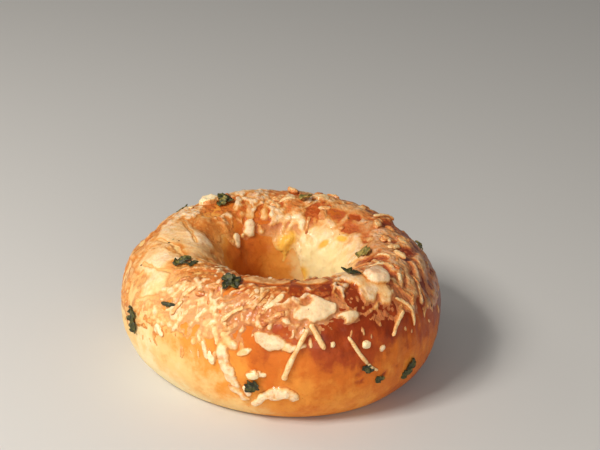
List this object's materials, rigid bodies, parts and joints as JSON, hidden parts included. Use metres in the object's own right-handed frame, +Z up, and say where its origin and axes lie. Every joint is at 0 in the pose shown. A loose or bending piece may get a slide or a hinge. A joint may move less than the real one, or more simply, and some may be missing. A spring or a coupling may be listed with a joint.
{
  "type": "cheese and herb bagel",
  "caption": "Plump baked ring of dough with a flat foot and a hole through it, its top covered with melted and grated cheese and flakes of herb.",
  "frame": {"origin": "on the surface that the bagel rests on, under the middle of its outline", "axes": "+Z up through the hole, -Y towards the side that the picture shows at the front, +X to the right as seen from there"},
  "size_m": [0.1159, 0.1103, 0.0481],
  "materials": {
    "baked_cheese": "glossy golden-brown baked crust under melted cheese, cream to amber, with dark green flakes of herb"
  },
  "bodies": {
    "root": {"bagel": "baked_cheese"}
  },
  "joints": []
}
